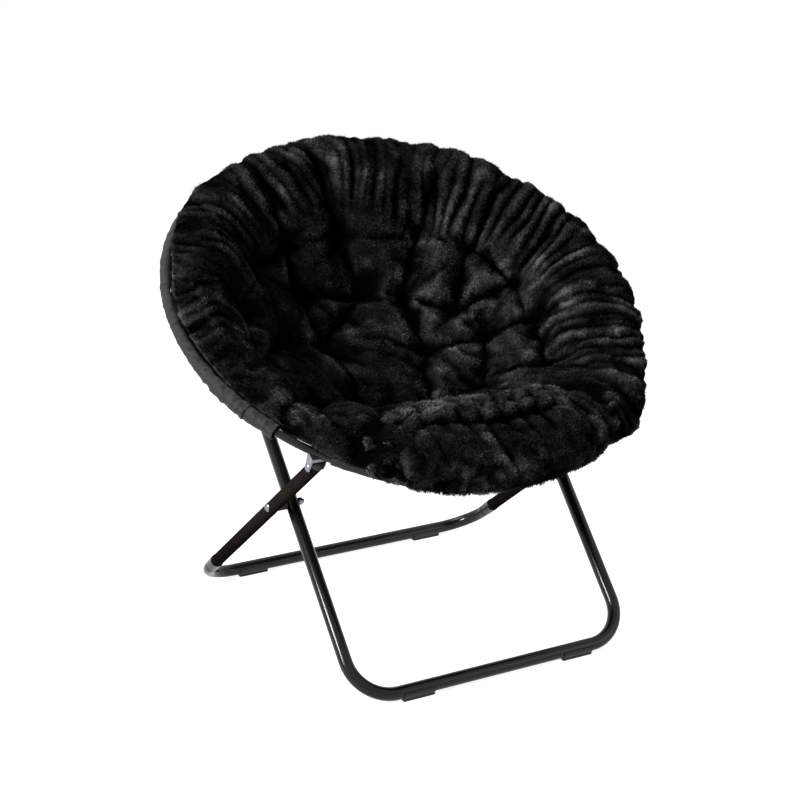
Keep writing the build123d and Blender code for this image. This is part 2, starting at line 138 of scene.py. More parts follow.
def speckled(name, dark, light, fine, broad, bump, roughness, crest=False, **values):
    # colour and roughness run from dark to light with the speckle; on the plush, painted shade keeps creases
    # dark and painted highlights lighten ridges and sheen patches
    material, tree, shader, coords = newMaterial(name, **values)
    tone = addNode(tree, "ShaderNodeGroup", (-850, 0), node_tree=speckle)
    tone.inputs["Fine"].default_value = fine
    tone.inputs["Broad"].default_value = broad
    share = tone.outputs["Tone"]
    if crest:
        tone.inputs["Low"].default_value = plushToneAndLight["low"]
        tone.inputs["High"].default_value = plushToneAndLight["high"]
        height = addNode(tree, "ShaderNodeAttribute", (-1050, 300), attribute_name="crest")
        steep = addNode(tree, "ShaderNodeMath", (-850, 300), operation="POWER")
        steep.inputs[1].default_value = plushToneAndLight["steepness"]
        lifted = addNode(tree, "ShaderNodeMath", (-650, 300), operation="MULTIPLY")
        tree.links.new(height.outputs["Fac"], steep.inputs[0])
        tree.links.new(steep.outputs[0], lifted.inputs[0])
        tree.links.new(share, lifted.inputs[1])
        share = lifted.outputs[0]
    colours = addNode(tree, "ShaderNodeMix", (-550, 200), data_type="RGBA")
    colours.inputs["A"].default_value = (*dark, 1)
    colours.inputs["B"].default_value = (*light, 1)
    rough = addNode(tree, "ShaderNodeMapRange", (-550, -50))
    rough.inputs["To Min"].default_value = roughness[0]
    rough.inputs["To Max"].default_value = roughness[1]
    relief = addNode(tree, "ShaderNodeBump", (-300, -250), Strength=bump[0], Distance=bump[1])
    tree.links.new(coords, tone.inputs["Vector"])
    tree.links.new(share, colours.inputs["Factor"])
    tree.links.new(tone.outputs["Tone"], rough.inputs["Value"])
    tree.links.new(tone.outputs["Height"], relief.inputs["Height"])
    tree.links.new(colours.outputs["Result"], shader.inputs["Base Color"])
    tree.links.new(rough.outputs["Result"], shader.inputs["Roughness"])
    tree.links.new(relief.outputs["Normal"], shader.inputs["Normal"])
    return material


# the light colour of the plush and pile shows as painted highlights on ridges and sheen patches; their creases
# stay near black as painted shade
plush = speckled(
    "blackPlush", (0.0004, 0.0004, 0.0005), (0.085, 0.083, 0.087), 190.0, 17.0, (0.5, 0.002), (0.6, 0.85),
    crest=True, **{"Specular IOR Level": 0.0},
)
pile = speckled(
    "blackPile", (0.0005, 0.0005, 0.0006), (0.34, 0.33, 0.346), 190.0, 17.0, (0.0, 0.001), (0.4, 0.6),
    crest=True, **{"Specular IOR Level": 0.01},
)
casingCloth = speckled(
    "casingCloth", (0.0055, 0.0055, 0.0058), (0.020, 0.020, 0.021), 1400.0, 60.0, (0.35, 0.0006), (0.55, 0.75),
    **{"Sheen Weight": 0.05, "Sheen Roughness": 0.5, "Specular IOR Level": 0.2},
)
blackPaint = speckled(
    "blackPaint", (0.003, 0.0026, 0.0024), (0.009, 0.0078, 0.0072), 700.0, 25.0, (0.04, 0.0004), (0.15, 0.24),
    **{"Specular IOR Level": 0.24},
)
mattPaint = speckled(
    "mattPaint", (0.009, 0.0075, 0.0066), (0.017, 0.0145, 0.013), 600.0, 30.0, (0.10, 0.0004), (0.5, 0.65),
    **{"Specular IOR Level": 0.0},
)
zincPlate = speckled(
    "zincPlate", (0.10, 0.108, 0.122), (0.30, 0.315, 0.345), 420.0, 60.0, (0.15, 0.0004), (0.2, 0.4),
    **{"Metallic": 1.0},
)
mattPlastic = speckled(
    "mattPlastic", (0.010, 0.010, 0.010), (0.020, 0.020, 0.020), 900.0, 40.0, (0.15, 0.0004), (0.40, 0.55),
    **{"Specular IOR Level": 0.25},
)
print("materials made")


def dress(node, material):
    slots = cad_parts[node].data.materials
    slots.clear()
    slots.append(material)


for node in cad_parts:
    if node.startswith(("cushion", "front_pad")):
        dress(node, plush)
    elif node.startswith(("lining", "sleeve")):
        dress(node, casingCloth)
    elif node.startswith("hinge"):
        dress(node, mattPaint)
    elif any(word in node for word in ("bracket", "rivet", "stub", "bolt", "nut")):
        dress(node, zincPlate)
    elif any(word in node for word in ("cap", "spacer", "foot")):
        dress(node, mattPlastic)
    else:
        dress(node, blackPaint)

# camera, light and floor
view = {
    "azimuth": -29.3786,
    "elevation": 17.7032,
    "distance": 3.3839,
    "target": (0.1497, 0.0877, 0.3566),
    "lens": 78.22,
    "shift": (-0.0711, 0.0112),
}

azimuth = math.radians(view["azimuth"])
elevation = math.radians(view["elevation"])
back = Vector((
    math.sin(azimuth) * math.cos(elevation),
    -math.cos(azimuth) * math.cos(elevation),
    math.sin(elevation),
))
camera = bpy.data.objects.new("camera", bpy.data.cameras.new("camera"))
bpy.context.scene.collection.objects.link(camera)
camera.location = Vector(view["target"]) + back * view["distance"]
camera.rotation_mode = "QUATERNION"
camera.rotation_quaternion = (-back).to_track_quat("-Z", "Y")
camera.data.lens = view["lens"]
camera.data.sensor_width = 36
camera.data.shift_x, camera.data.shift_y = view["shift"]
bpy.context.scene.camera = camera

lamps = {
    "key": {"place": (-3.1, -0.6, 2.0), "size": 0.9, "power": 185},
    "fill": {"place": (2.2, -2.6, 1.4), "size": 2.0, "power": 16},
    "top": {"place": (-0.6, 1.4, 2.9), "size": 1.4, "power": 40},
}
for name, lamp in lamps.items():
    light = bpy.data.objects.new(name, bpy.data.lights.new(name, "AREA"))
    light.data.energy = lamp["power"]
    light.data.size = lamp["size"]
    light.location = lamp["place"]
    aim = Vector((0, 0, 0.45)) - light.location
    light.rotation_euler = aim.to_track_quat("-Z", "Y").to_euler()
    bpy.context.scene.collection.objects.link(light)


def seenWhite(tree, shader, target, lit, seen):
    # white where the camera, gloss or glass sees it, dimmer for the light it gives
    rays = addNode(tree, "ShaderNodeLightPath", (-900, 300))
    first = addNode(tree, "ShaderNodeMath", (-700, 300), operation="MAXIMUM")
    second = addNode(tree, "ShaderNodeMath", (-520, 300), operation="MAXIMUM")
    strength = addNode(tree, "ShaderNodeMapRange", (-340, 300))
    strength.inputs["To Min"].default_value = lit
    strength.inputs["To Max"].default_value = seen
    tree.links.new(rays.outputs["Is Camera Ray"], first.inputs[0])
    tree.links.new(rays.outputs["Is Transmission Ray"], first.inputs[1])
    tree.links.new(first.outputs[0], second.inputs[0])
    tree.links.new(rays.outputs["Is Glossy Ray"], second.inputs[1])
    tree.links.new(second.outputs[0], strength.inputs["Value"])
    tree.links.new(strength.outputs["Result"], shader.inputs[target])


world = bpy.data.worlds.new("studio")
world.use_nodes = True
bpy.context.scene.world = world
sky = world.node_tree.nodes["Background"]
sky.inputs["Color"].default_value = (1, 1, 1, 1)
seenWhite(world.node_tree, sky, "Strength", 0.22, 1.0)

bm = bmesh.new()
bmesh.ops.create_circle(bm, cap_ends=True, segments=64, radius=14)
floorMesh = bpy.data.meshes.new("studioFloor")
bm.to_mesh(floorMesh)
bm.free()
floor = bpy.data.objects.new("studioFloor", floorMesh)
bpy.context.scene.collection.objects.link(floor)
floorPaint, floorTree, floorShader, _ = newMaterial(
    "floorPaint", **{"Base Color": (0.45, 0.45, 0.45, 1), "Roughness": 0.9, "Specular IOR Level": 0.0}
)
floorShader.inputs["Emission Color"].default_value = (1, 1, 1, 1)
seenWhite(floorTree, floorShader, "Emission Strength", 0.0, 0.90)
floorMesh.materials.append(floorPaint)
bpy.context.scene.view_settings.view_transform = "Standard"
print("camera, lamps and floor set")


# helpers for meshes
def addObject(name, bm, matrix=None, material=None, smooth=True):
    if matrix is not None:
        bmesh.ops.transform(bm, matrix=matrix, verts=bm.verts)
    mesh = bpy.data.meshes.new(name)
    bm.to_mesh(mesh)
    bm.free()
    piece = bpy.data.objects.new(name, mesh)
    bpy.context.scene.collection.objects.link(piece)
    if material is not None:
        mesh.materials.append(material)
    if smooth:
        mesh.polygons.foreach_set("use_smooth", [True] * len(mesh.polygons))
    return piece


def readPoints(mesh):
    points = np.empty(len(mesh.vertices) * 3, np.float32)
    mesh.vertices.foreach_get("co", points)
    return points.reshape(-1, 3).astype(float)


def writePoints(mesh, points):
    mesh.vertices.foreach_set("co", points.astype(np.float32).ravel())
    mesh.update()


def readNormals(mesh):
    normals = np.empty(len(mesh.vertices) * 3, np.float32)
    mesh.vertex_normals.foreach_get("vector", normals)
    return normals.reshape(-1, 3).astype(float)


def applyModifiers(piece):
    graph = bpy.context.evaluated_depsgraph_get()
    done = bpy.data.meshes.new_from_object(piece.evaluated_get(graph))
    piece.modifiers.clear()
    piece.data = done


def waves(points, scale, seed):
    # smooth noise from -1 to 1 at each point
    shift = Vector((seed * 7.3, seed * 3.1, seed * 5.7))
    return np.array([noise.noise(Vector(p) * scale + shift) for p in points])


def paintLightAndShade(piece, scales, share=1.0):
    # painted light and shade: how far each point stands above its smoothed surroundings, from 0 (painted
    # shade) in a crease to 1 (painted highlight) on a ridge;
    # scales gives, for each number of smoothing rounds, the rise in metres that counts as 1
    points = readPoints(piece.data)
    normals = readNormals(piece.data)
    ends = np.empty(len(piece.data.edges) * 2, np.int32)
    piece.data.edges.foreach_get("vertices", ends)
    ends = ends.reshape(-1, 2)
    many = np.maximum(np.bincount(ends.ravel(), minlength=len(points)), 1)[:, None]
    soft = points.copy()
    crest = np.full(len(points), 0.5)
    for turn in range(max(scales) + 1):
        if turn in scales:
            rise = ((points - soft) * normals).sum(1)
            crest += rise / scales[turn]
        total = np.stack([
            np.bincount(ends[:, 0], soft[ends[:, 1], k], len(points))
            + np.bincount(ends[:, 1], soft[ends[:, 0], k], len(points))
            for k in range(3)
        ], axis=1)
        soft = total / many
    # painted sheen: broad noise lightens the plush in patches
    patches = plushToneAndLight["patchGain"] * waves(points, plushToneAndLight["patchScale"], plushToneAndLight["patchSeed"]) - plushToneAndLight["patchStart"]
    share = share * (plushToneAndLight["plain"] + plushToneAndLight["paintedSheen"] * np.clip(patches, 0, 1))
    marks = piece.data.attributes.new("crest", "FLOAT", "POINT")
    marks.data.foreach_set("value", (np.clip(crest, 0, 1) * share).astype(np.float32))


def smoothStep(low, high, value):
    share = np.clip((value - low) / (high - low), 0, 1)
    return share * share * (3 - 2 * share)


# leg tubes
def pull(bm, loop, offset):
    # a straight run of tube from an open loop of edges
    made = bmesh.ops.extrude_edge_only(bm, edges=loop)
    verts = [g for g in made["geom"] if isinstance(g, bmesh.types.BMVert)]
    bmesh.ops.translate(bm, verts=verts, vec=offset)
    return [g for g in made["geom"] if isinstance(g, bmesh.types.BMEdge)]


def bend(bm, loop, centre, angle, steps):
    # a bent run of tube round a centre in the tube's own plane
    verts = list({v for e in loop for v in e.verts})
    made = bmesh.ops.spin(
        bm, geom=verts + loop, cent=centre, axis=(0, 0, 1), angle=angle, steps=steps, use_duplicate=False
    )
    return [g for g in made["geom_last"] if isinstance(g, bmesh.types.BMEdge)]


def uTube(half, top, corner, radius):
    # a U of round tube in its own plane: legs up along y, the bar on y = 0
    bm = bmesh.new()
    ring = bmesh.ops.create_circle(bm, cap_ends=False, segments=40, radius=radius)["verts"]
    bmesh.ops.rotate(bm, verts=ring, matrix=Matrix.Rotation(math.pi / 2, 3, "X"))
    bmesh.ops.translate(bm, verts=ring, vec=(-half, top, 0))
    loop = list(bm.edges)
    loop = pull(bm, loop, (0, corner - top, 0))
    loop = bend(bm, loop, (corner - half, corner, 0), math.pi / 2, 20)
    loop = pull(bm, loop, (2 * (half - corner), 0, 0))
    loop = bend(bm, loop, (half - corner, corner, 0), math.pi / 2, 20)
    pull(bm, loop, (0, top - corner, 0))
    bmesh.ops.remove_doubles(bm, verts=bm.verts, dist=1e-5)
    bmesh.ops.holes_fill(bm, edges=bm.edges, sides=0)
    bmesh.ops.recalc_face_normals(bm, faces=bm.faces)
    return bm


legs = {
    "tube": 0.012,
    "corner": 0.075,
    "barHeight": 0.015,
    "frontHalf": 0.27324,
    "frontFoot": -0.3265,
    "frontLean": 43.0,
    "frontTop": 0.97907,
    "rearHalf": 0.30874,
    "rearFoot": 0.3145,
    "rearLean": 54.1,
    "rearTop": 0.70869,
    "elbowTop": 0.120,
}


def legMatrix(foot, lean):
    return Matrix.Translation((0, foot, legs["barHeight"])) @ Matrix.Rotation(math.radians(90 - lean), 4, "X")


frontMatrix = legMatrix(legs["frontFoot"], legs["frontLean"])
rearMatrix = legMatrix(legs["rearFoot"], -legs["rearLean"])

bm = uTube(legs["frontHalf"], legs["frontTop"], legs["corner"], legs["tube"])
frontLegTube = addObject("frontLegTube", bm, frontMatrix, blackPaint)
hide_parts("front_leg_frame")
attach(frontLegTube, "front_leg")

bm = uTube(legs["rearHalf"], legs["elbowTop"], legs["corner"], legs["tube"])
rearBaseTube = addObject("rearBaseTube", bm, rearMatrix, blackPaint)
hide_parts("rear_base_tube")
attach(rearBaseTube, "rear_frame")

for tag, side in (("left", -1), ("right", 1)):
    bm = bmesh.new()
    low, high = legs["elbowTop"] + 0.0004, legs["rearTop"]
    bmesh.ops.create_cone(
        bm, cap_ends=True, segments=40, radius1=legs["tube"], radius2=legs["tube"], depth=high - low
    )
    bmesh.ops.rotate(bm, verts=bm.verts, matrix=Matrix.Rotation(-math.pi / 2, 3, "X"))
    bmesh.ops.translate(bm, verts=bm.verts, vec=(side * legs["rearHalf"], (low + high) / 2, 0))
    tube = addObject(f"rearLegTube_{tag}", bm, rearMatrix, mattPaint)
    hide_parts(f"rear_leg_{tag}")
    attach(tube, "rear_frame")
print("leg tubes made")


# padded seat
def bowlHeight(radius, offset):
    # the bowl's line, moved inwards by an offset: straight sides, then a round bottom
    slope = math.radians(chair["bowlSlope"])
    ball = chair["bowlBreak"] / math.sin(slope)
    turnHeight = chair["bowlRimHeight"] - (chair["bowlRim"] - chair["bowlBreak"]) * math.tan(slope)
    turnRadius = chair["bowlBreak"] - offset * math.sin(slope)
    if radius > turnRadius:
        return turnHeight + offset * math.cos(slope) + (radius - turnRadius) * math.tan(slope)
    middle = turnHeight + ball * math.cos(slope)
    return middle - math.sqrt((ball - offset) ** 2 - radius**2)


def spinLine(points, steps):
    # a closed round shell from a line of (radius, height)
    bm = bmesh.new()
    verts = [bm.verts.new((radius, 0, height)) for radius, height in points]
    for first, second in zip(verts, verts[1:]):
        bm.edges.new((first, second))
    bmesh.ops.spin(
        bm, geom=bm.verts[:] + bm.edges[:], cent=(0, 0, 0), axis=(0, 0, 1),
        angle=2 * math.pi, steps=steps, use_merge=True, use_duplicate=False,
    )
    bmesh.ops.remove_doubles(bm, verts=bm.verts, dist=1e-5)
    bmesh.ops.recalc_face_normals(bm, faces=bm.faces)
    return bm


def remesh(piece, voxel):
    piece.data.remesh_voxel_size = voxel
    piece.data.remesh_voxel_adaptivity = 0
    bpy.context.view_layer.objects.active = piece
    piece.select_set(True)
    bpy.ops.object.voxel_remesh()
    piece.select_set(False)


simulation = {
    "frames": 20,
    "quality": 6,
    "mass": 0.25,
    "stretch": 12,
    "shear": 4,
    "bending": 0.4,
}


def inflate(piece, weights, pressure, shrink, reach):
    # cloth blown up from inside between its pins; no point moves further than reach
    start = readPoints(piece.data)
    pins = piece.vertex_groups.new(name="pins")
    for weight in (0.25, 0.5, 0.75, 1.0):
        chosen = np.nonzero(np.abs(weights - weight) <= 0.125)[0]
        pins.add([int(i) for i in chosen], weight, "REPLACE")
    cloth = piece.modifiers.new("cloth", "CLOTH")
    settings = cloth.settings
    settings.quality = simulation["quality"]
    settings.mass = simulation["mass"]
    settings.tension_stiffness = settings.compression_stiffness = simulation["stretch"]
    settings.shear_stiffness = simulation["shear"]
    settings.bending_stiffness = simulation["bending"]
    settings.use_pressure = True
    settings.uniform_pressure_force = pressure
    settings.shrink_min = -shrink
    settings.shrink_max = -shrink
    settings.vertex_group_mass = "pins"
    settings.pin_stiffness = 1.0
    settings.effector_weights.gravity = 0
    cloth.collision_settings.use_collision = False
    cloth.point_cache.frame_start, cloth.point_cache.frame_end = 1, simulation["frames"]
    for step in range(1, simulation["frames"] + 1):
        bpy.context.scene.frame_set(step)
    applyModifiers(piece)
    bpy.context.scene.frame_set(1)
    moved = readPoints(piece.data) - start
    length = np.linalg.norm(moved, axis=1)
    moved[~np.isfinite(length)] = 0
    length = np.nan_to_num(length, nan=0.0)
    share = np.minimum(1.0, reach / np.maximum(length, 1e-9))
    writePoints(piece.data, start + moved * share[:, None])
    piece.vertex_groups.clear()
    print(piece.name, "blown up, furthest", round(float(length.max()), 4))


def subdivideOnce(piece):
    modifier = piece.modifiers.new("round", "SUBSURF")
    modifier.levels = modifier.render_levels = 1
    applyModifiers(piece)


roll = {
    "half": 0.247,
    "outer": 0.4590,
    "nose": -0.250,
    "crown": 0.0400,
    "rings": 56,
    "sides": 44,
    "voxel": 0.005,
    # each row of stitches: how far in front of the inner edge, and how deep
    "rows": ((0.030, 0.028), (0.078, 0.020)),
    "rowWidth": 0.009,
    "pleat": 0.012,
    "pressure": 2.5,
    "shrink": 0.07,
    "reach": 0.014,
}


def rollNose(x):
    # inner edge of the roll in the ring plane: straight, with rounded ends
    share = np.clip((np.abs(x) - 0.13) / (roll["half"] - 0.13), 0, 1)
    return roll["nose"] - 0.085 * share**1.7 - 0.006 * np.sin(x * 23)


def rollShadeFade(points):
    # painted shade beside the front roll: 0 at its inner edge and ends, 1 from 40 mm away
    beyond = points[:, 1] - rollNose(points[:, 0])
    aside = np.abs(points[:, 0]) - roll["half"]
    return smoothStep(0.0, 0.040, np.abs(np.maximum(beyond, aside)))


tufts = {
    # radius in metres and angle from +X of each stitch, as seen in the seat
    "outer": (
        (0.285, 16), (0.280, 37), (0.283, 59), (0.266, 91), (0.276, 116), (0.287, 139), (0.286, 163),
        (0.286, 187), (0.282, 212), (0.280, 333), (0.272, 357),
    ),
    "middle": (
        (0.167, 57), (0.168, 86), (0.200, 127), (0.187, 27), (0.192, 2), (0.196, 165), (0.120, 152),
        (0.092, 16), (0.142, 224), (0.165, 326), (0.120, 285),
    ),
    "depth": 0.040,
    "width": 0.026,
    "creaseDepth": 0.029,
    "creaseWidth": 0.015,
}


def flat(places):
    return np.array([(r * math.cos(math.radians(a)), r * math.sin(math.radians(a))) for r, a in places])


def creaseLines():
    # stitches with no other stitch between them are joined, and the outer row is joined to the rim
    chance = random.Random(7)
    spots = flat(tufts["outer"] + tufts["middle"])
    lines = []
    for i, first in enumerate(spots):
        for j in range(i + 1, len(spots)):
            middle, half = (first + spots[j]) / 2, np.linalg.norm(first - spots[j]) / 2
            away = np.linalg.norm(spots - middle, axis=1)
            away[[i, j]] = 9
            if half < 0.085 and away.min() > half * 1.02:
                deep = chance.choice((0.35, 0.7, 1.0, 1.0))
                lines.append((first, spots[j], deep, deep))
    for number, (radius, angle) in enumerate(tufts["outer"]):
        start = flat(((radius, angle),))[0]
        end = flat(((0.425, angle + 5 * math.sin(number * 2.4)),))[0]
        lines.append((start, end, chance.choice((0.5, 0.8, 1.0)), 0.12))
    return lines


def nearLine(points, first, second):
    run = second - first
    share = np.clip((points - first) @ run / (run @ run), 0, 1)
    return np.linalg.norm(points - first - share[:, None] * run, axis=1), share


hem = {
    "inset": 0.0185,
    "wave": 0.0022,
}


def leftShare(turn):
    # 1 where the padding's hem stays inside the ring, at its left, 0 elsewhere
    return smoothStep(128, 160, turn) * (1 - smoothStep(218, 228, turn))


def topShare(points):
    # 1 on the top of the padding and its rim, 0 underneath
    radii = np.hypot(points[:, 0], points[:, 1])
    middle = np.array([bowlHeight(min(r, 0.43), 0.022) for r in radii])
    floorLine = np.where(radii > 0.385, 0.0120 - np.maximum(0, 0.430 - radii) * 0.5, middle)
    return smoothStep(-0.002, 0.003, points[:, 2] - floorLine)


cushion = {
    # depths are from the bowl's own line
    "top": 0.047,
    "under": 0.0040,
    "sides": 120,
    "voxel": 0.0060,
    "wander": 0.016,
    "jitter": 0.005,
    "pressure": 3.5,
    "shrink": 0.04,
    "reach": 0.022,
}
outline = [(0.008 * i, bowlHeight(0.008 * i, cushion["top"])) for i in range(48)]
# over the rim, and back in below it
outline += [
    (0.396, 0.0300), (0.410, 0.0300), (0.424, 0.0272), (0.436, 0.0235), (0.4455, 0.0180), (0.4500, 0.0135),
    (0.4475, 0.0102), (0.4300, 0.0102), (0.4296, 0.0035),
]
outline += [(0.4296 - 0.012 * i, bowlHeight(0.4296 - 0.012 * i, cushion["under"])) for i in range(1, 36)]
outline += [(0.0, bowlHeight(0.0, cushion["under"]))]
seat = addObject("seat", spinLine(outline, cushion["sides"]))
remesh(seat, cushion["voxel"])
points = readPoints(seat.data)
normals = readNormals(seat.data)
radii = np.hypot(points[:, 0], points[:, 1])
upper = topShare(points)
wander = np.stack([waves(points, 9, 1), waves(points, 9, 2)], axis=1) * cushion["wander"]
wander += np.stack([waves(points, 30, 8), waves(points, 30, 9)], axis=1) * cushion["jitter"]
plan = points[:, :2] + wander * (1 - smoothStep(0.36, 0.43, radii))[:, None]
hollow = np.zeros(len(points))
pinned = np.where(upper < 0.5, 1.0, 0.0)
for first, second, strong, weak in creaseLines():
    away, share = nearLine(plan, first, second)
    depth = tufts["creaseDepth"] * (strong + (weak - strong) * share)
    hollow = np.maximum(hollow, depth * np.exp(-away / tufts["creaseWidth"]))
    pinned = np.where((away < 0.003) & (depth > 0.012), np.maximum(pinned, 0.5), pinned)
for spot in flat(tufts["outer"] + tufts["middle"]):
    away = np.linalg.norm(plan - spot, axis=1)
    hollow = np.maximum(hollow, tufts["depth"] * np.exp(-away / tufts["width"]))
    pinned = np.where(away < 0.008, 1.0, pinned)
writePoints(seat.data, points - normals * (hollow * upper)[:, None])
print("seat meshed:", len(points), "points")
inflate(seat, pinned, cushion["pressure"], cushion["shrink"], cushion["reach"])
subdivideOnce(seat)

# gathers run out to the rim, close together at the sides and weak at the back
gathers = {
    "count": 92,
    "height": 0.0100,
    "broad": 38,
    "broadHeight": 0.0085,
    "inner": 0.270,
    "full": 0.345,
}
points = readPoints(seat.data)
normals = readNormals(seat.data)
radii = np.hypot(points[:, 0], points[:, 1])
angles = np.arctan2(points[:, 1], points[:, 0])
sideways = 0.38 + 0.62 * np.abs(np.cos(angles)) ** 0.8
frontLeft = smoothStep(-0.02, 0.22, -np.sin(angles)) * (np.cos(angles) < 0)
sideways *= 1 - 0.85 * frontLeft
band = smoothStep(gathers["inner"], gathers["full"], radii + 0.05 * waves(points, 14, 15))
onTop = topShare(points)
drift = waves(points, 6, 3) * 0.17 + waves(points, 18, 4) * 0.025
strength = np.clip(0.72 + 1.1 * waves(points, 7, 5) + 0.9 * waves(points, 17, 14), 0.05, 1.3)
strength *= 1 - 0.6 * smoothStep(0.425, 0.445, radii)
phase = (angles + drift) * gathers["count"] / 2
ridge = np.abs(np.sin(phase)) ** 0.8 - 0.6
broad = np.abs(np.sin((angles + 0.7 * drift) * gathers["broad"] / 2)) ** 0.8 - 0.6
broad *= np.clip(0.7 + 1.2 * waves(points, 6, 13), 0.1, 1.2) * (1 - 0.85 * frontLeft)
folds = (gathers["height"] * ridge * sideways * strength + gathers["broadHeight"] * broad) * band
swell = 0.0035 * waves(points, 16, 6) + 0.0016 * waves(points, 45, 7)
points = points + normals * ((folds + swell) * onTop)[:, None]
# on its left the padding stays inside the ring, and its hem there is wavy
turn = np.degrees(angles) % 360
leftSide = leftShare(turn)
rimShare = smoothStep(0.36, 0.43, radii)
wavy = hem["wave"] * waves(points, 42, 10) * (0.3 + 0.7 * leftSide)
shrunk = 1 - (hem["inset"] * leftSide + wavy) * rimShare / np.maximum(radii, 0.05)
points[:, :2] *= shrunk[:, None]
# the rim stands fuller at the back and right, and its cloth hangs over the ring at the right front
rim = {
    # the share of the swell at each angle from +X
    "swell": (
        (0, 0.65), (25, 0.85), (60, 0.75), (85, 0.55), (98, 0.2), (108, 0), (330, 0), (345, 0.3), (360, 0.65),
    ),
    "swellOut": 0.012,
    "swellUp": 0.015,
    "hangAngle": 308,
    "hangWidth": 11,
    "hangOut": 0.027,
    "hangDown": 0.021,
}
swollen = np.interp(turn, *zip(*rim["swell"])) * smoothStep(0.34, 0.42, radii) * onTop
hung = np.exp(-(((turn - rim["hangAngle"]) / rim["hangWidth"]) ** 2)) * smoothStep(0.39, 0.445, radii)
outward = rim["swellOut"] * swollen + rim["hangOut"] * hung
points[:, :2] *= (1 + outward / np.maximum(radii, 0.05))[:, None]
points[:, 2] += rim["swellUp"] * swollen - rim["hangDown"] * hung
writePoints(seat.data, points)
# painted shade darkens the seat beside the front roll, a painted sheen lightens it on the right inside, and
# the rim is painted a little darker
rollShade = 0.42 + 0.58 * rollShadeFade(points)
paintedSheen = smoothStep(0.0, 0.2, points[:, 0]) * (1 - smoothStep(0.30, 0.36, radii))
paintLightAndShade(seat, {20: 0.014, 110: 0.030}, rollShade * (1 + 0.2 * paintedSheen - 0.06 * smoothStep(0.34, 0.38, radii)))
print("seat gathered")


def cutSeat(name, keepBack):
    bm = bmesh.new()
    bm.from_mesh(seat.data)
    side = 1 if keepBack else -1
    place = (0, chair["foldLine"] + side * 0.0004, 0)
    bmesh.ops.bisect_plane(
        bm, geom=bm.verts[:] + bm.edges[:] + bm.faces[:], dist=1e-6, plane_co=place,
        plane_no=(0, -side, 0), clear_outer=True,
    )
    bmesh.ops.triangle_fill(bm, edges=[e for e in bm.edges if e.is_boundary], use_beauty=True)
    bmesh.ops.recalc_face_normals(bm, faces=bm.faces)
    return addObject(name, bm, ringMatrix, plush)


seatHalves = {"back": cutSeat("cushionBack", True), "front": cutSeat("cushionFront", False)}
bpy.data.objects.remove(seat)
for tag, half in seatHalves.items():
    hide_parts(f"cushion_{tag}")
    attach(half, f"{tag}_ring")
print("seat halves cut")


# front roll
def rollSection(x):
    # closed outline in (along the ring plane, above it), thinner towards the ends
    share = abs(x / roll["half"])
    edge = -math.sqrt((roll["outer"] - 0.0055 * share**5) ** 2 - x**2)
    nose = float(rollNose(x))
    full = math.sqrt(max(0.0, 1 - share**6))
    hang = 0.0085 - 0.0115 * share ** (6 if x < 0 else 16)
    top = 0.008 + (roll["crown"] - 0.008) * full
    deep = bowlHeight(min(0.42, math.hypot(x, nose)), 0.047)
    middle = 0.5 * (edge + nose)
    corners = [
        # up the nose, over the top to the front edge
        (nose + 0.004, deep - 0.004), (nose + 0.001, 0.5 * deep), (nose - 0.010, top - 0.022),
        (nose - 0.030, top - 0.007), (nose - 0.060, top - 0.004), (edge + 0.075, top - 0.002),
        (edge + 0.045, top), (edge + 0.022, top - 0.004), (edge + 0.007, top - 0.015),
        # down the skirt and back up inside it
        (edge, 0.008 - 0.3 * hang), (edge - 0.001, -0.6 * hang), (edge + 0.001, -hang),
        (edge + 0.0045, 0.0005 - hang), (edge + 0.0045, 0.013), (edge + 0.014, 0.0225), (edge + 0.035, 0.020),
        # along the seat's top
        (middle, bowlHeight(min(0.42, math.hypot(x, middle)), 0.046)),
        (nose - 0.02, bowlHeight(min(0.42, math.hypot(x, nose - 0.02)), 0.046)),
    ]
    line = np.array(corners + corners[:1])
    walk = np.concatenate([[0], np.cumsum(np.linalg.norm(np.diff(line, axis=0), axis=1))])
    at = np.linspace(0, walk[-1], roll["sides"], endpoint=False)
    return np.stack([np.interp(at, walk, line[:, 0]), np.interp(at, walk, line[:, 1])], axis=1)


bm = bmesh.new()
ring = bmesh.ops.create_circle(bm, cap_ends=True, segments=roll["sides"], radius=0.02)["verts"]
loop = list(bm.edges)
for station in np.sin(np.linspace(-1, 1, roll["rings"]) * math.pi / 2) * roll["half"] * 0.999:
    for vert, (along, above) in zip(ring, rollSection(float(station))):
        vert.co = (station, along, above)
    if station < roll["half"] * 0.99:
        made = bmesh.ops.extrude_edge_only(bm, edges=loop)["geom"]
        loop = [g for g in made if isinstance(g, bmesh.types.BMEdge)]
        fresh = [g for g in made if isinstance(g, bmesh.types.BMVert)]
        around = set(loop)
        madeFrom = {next(e.other_vert(v) for e in v.link_edges if e not in around): v for v in fresh}
        ring = [madeFrom[v] for v in ring]
bmesh.ops.holes_fill(bm, edges=bm.edges, sides=0)
bmesh.ops.recalc_face_normals(bm, faces=bm.faces)
frontRoll = addObject("frontRoll", bm)
remesh(frontRoll, roll["voxel"])
points = readPoints(frontRoll.data)
normals = readNormals(frontRoll.data)
noses = rollNose(points[:, 0])
inward = noses - points[:, 1]
rollTop = smoothStep(0.3, 0.7, normals[:, 2])
hollow = np.zeros(len(points))
pinned = np.where((points[:, 2] < -0.012) | (normals[:, 2] < -0.2), 1.0, 0.0)
